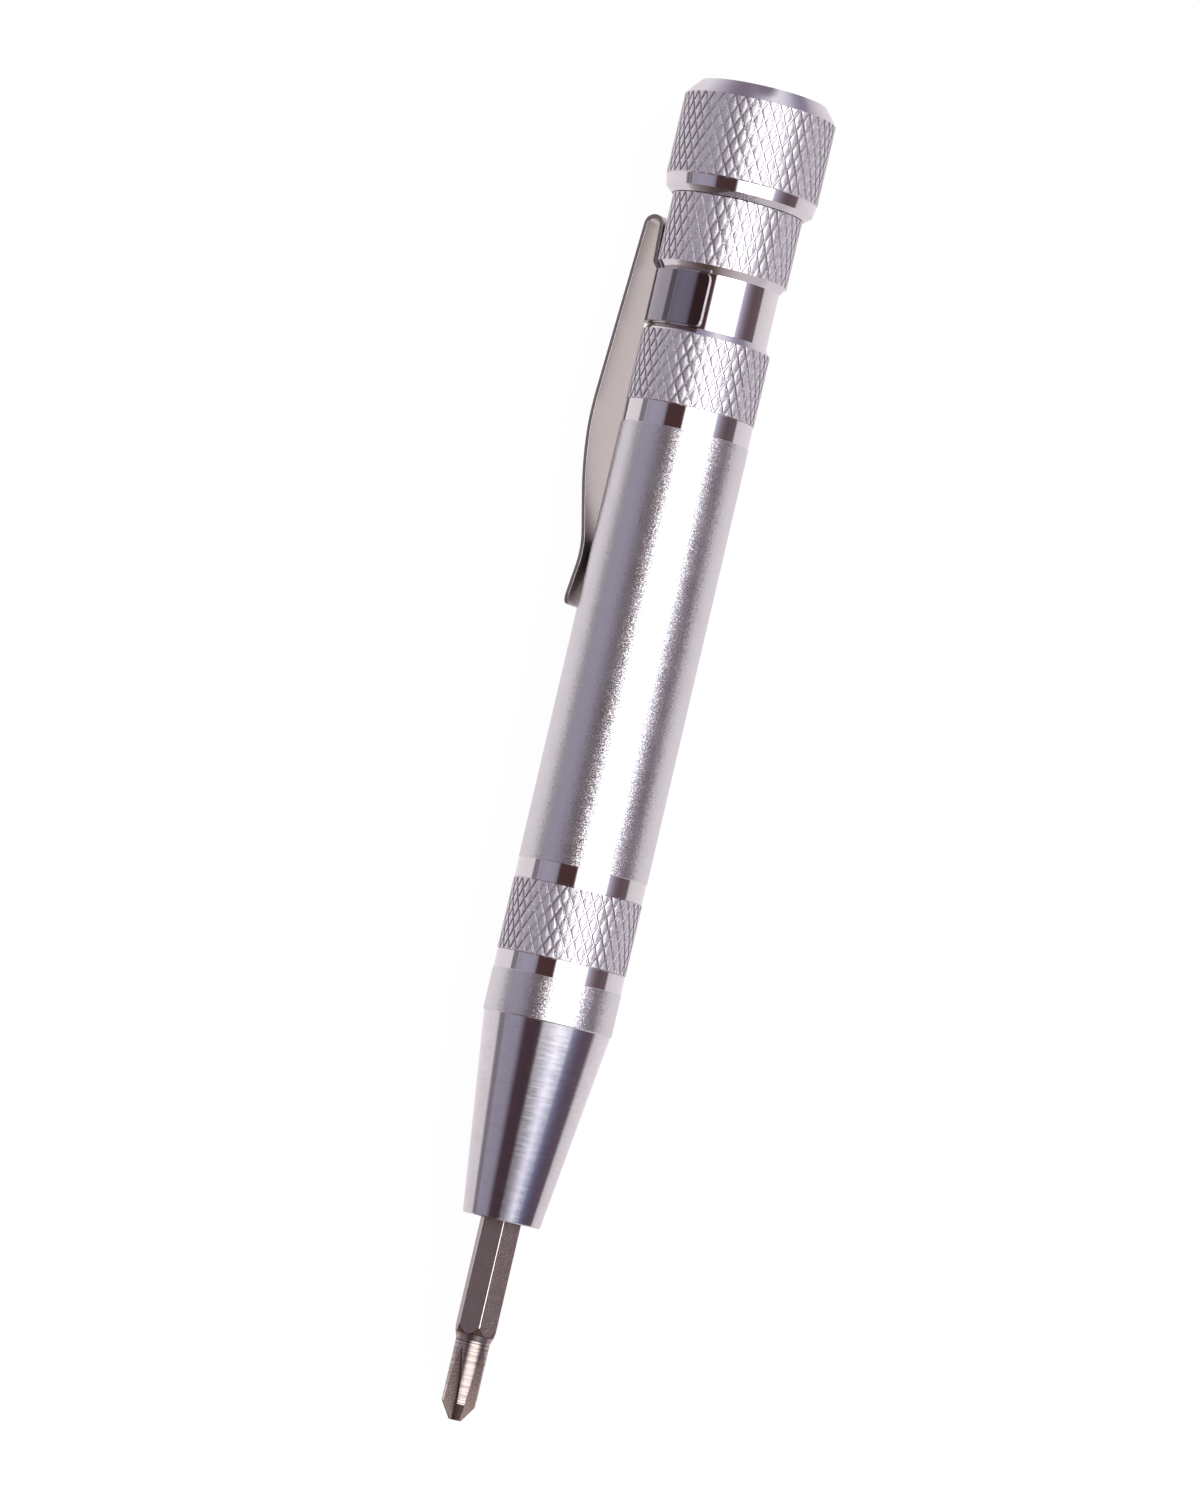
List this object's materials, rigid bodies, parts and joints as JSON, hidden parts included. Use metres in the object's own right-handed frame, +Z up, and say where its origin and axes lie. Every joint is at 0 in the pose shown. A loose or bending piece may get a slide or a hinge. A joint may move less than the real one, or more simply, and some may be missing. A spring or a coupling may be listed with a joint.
{
  "type": "pocket screwdriver",
  "caption": "Pen-sized screwdriver: knurled steel barrel, cone nose with a magnetic hex bit, pocket clip, free-turning palm cap, spare bits inside.",
  "frame": {"origin": "centre of the bounding box on the ground plane: the tool lies on its cap's rim", "axes": "+Y along the tool's axis from the bit's tip to the palm cap, +Z up, the pocket clip on the -X side, 30 degrees below the horizontal"},
  "size_m": [0.0184, 0.142, 0.0162],
  "materials": {
    "satin_chrome": "satin chromed turned steel",
    "polished_chrome": "polished chromed turned steel",
    "spring_steel": "bright nickel-plated spring sheet",
    "bit_steel": "dark heat-treated tool steel",
    "hardened_steel": "ground steel",
    "magnet": "nickel-plated magnet",
    "black_plastic": "fine-grained moulded nylon",
    "black_rubber": "satin",
    "brass": "turned"
  },
  "bodies": {
    "handle": {"barrel": "satin_chrome", "nose_cone": "polished_chrome", "hex_socket": "hardened_steel", "socket_magnet": "magnet"},
    "bit": {"driver_bit": "bit_steel"},
    "magazine": {"bit_magazine": "black_plastic", "cross_bit_medium": "bit_steel", "cross_bit_small": "bit_steel", "cross_bit_fine": "bit_steel", "slotted_bit_wide": "bit_steel", "slotted_bit_narrow": "bit_steel"},
    "tail_seal": {"tail_o_ring": "black_rubber"},
    "tail": {"tail_collar": "polished_chrome", "pivot_screw": "hardened_steel", "bearing_inner_ring": "hardened_steel"},
    "clip": {"pocket_clip": "spring_steel"},
    "ball_cage": {"bearing_balls": "hardened_steel", "bearing_cage": "brass"},
    "cap": {"swivel_cap": "polished_chrome", "bearing_outer_ring": "hardened_steel"}
  },
  "joints": [
    {"name": "bit_pull", "type": "slide", "parent": "handle", "child": "bit", "axis": [0, -1, 0], "range_m": [0, 0.02]},
    {"name": "magazine_draw", "type": "slide", "parent": "handle", "child": "magazine", "axis": [0, 1, 0], "range_m": [0, 0.075]},
    {"name": "tail_lift", "type": "slide", "parent": "magazine", "child": "tail_seal", "axis": [0, 1, 0], "range_m": [0, 0.006]},
    {"name": "tail_turn", "type": "hinge", "parent": "tail_seal", "child": "tail", "pos_m": [0.00105, 0.04485, 0.0081], "axis": [0, 1, 0], "range_deg": [0, 2880]},
    {"name": "clip_turn", "type": "hinge", "parent": "tail", "child": "clip", "pos_m": [0.00105, 0.0478, 0.0081], "axis": [0, 1, 0], "continuous": true},
    {"name": "cap_swivel", "type": "hinge", "parent": "tail", "child": "cap", "pos_m": [0.00105, 0.0621, 0.0081], "axis": [0, 1, 0], "continuous": true},
    {"name": "cage_roll", "type": "hinge", "parent": "tail", "child": "ball_cage", "pos_m": [0.00105, 0.0621, 0.0081], "axis": [0, 1, 0], "continuous": true}
  ],
  "couplings": [
    {"joint": "tail_lift", "follows": "tail_turn", "m_per_rad": 0.00011937},
    {"joint": "cage_roll", "follows": "cap_swivel", "ratio": 0.64364}
  ]
}
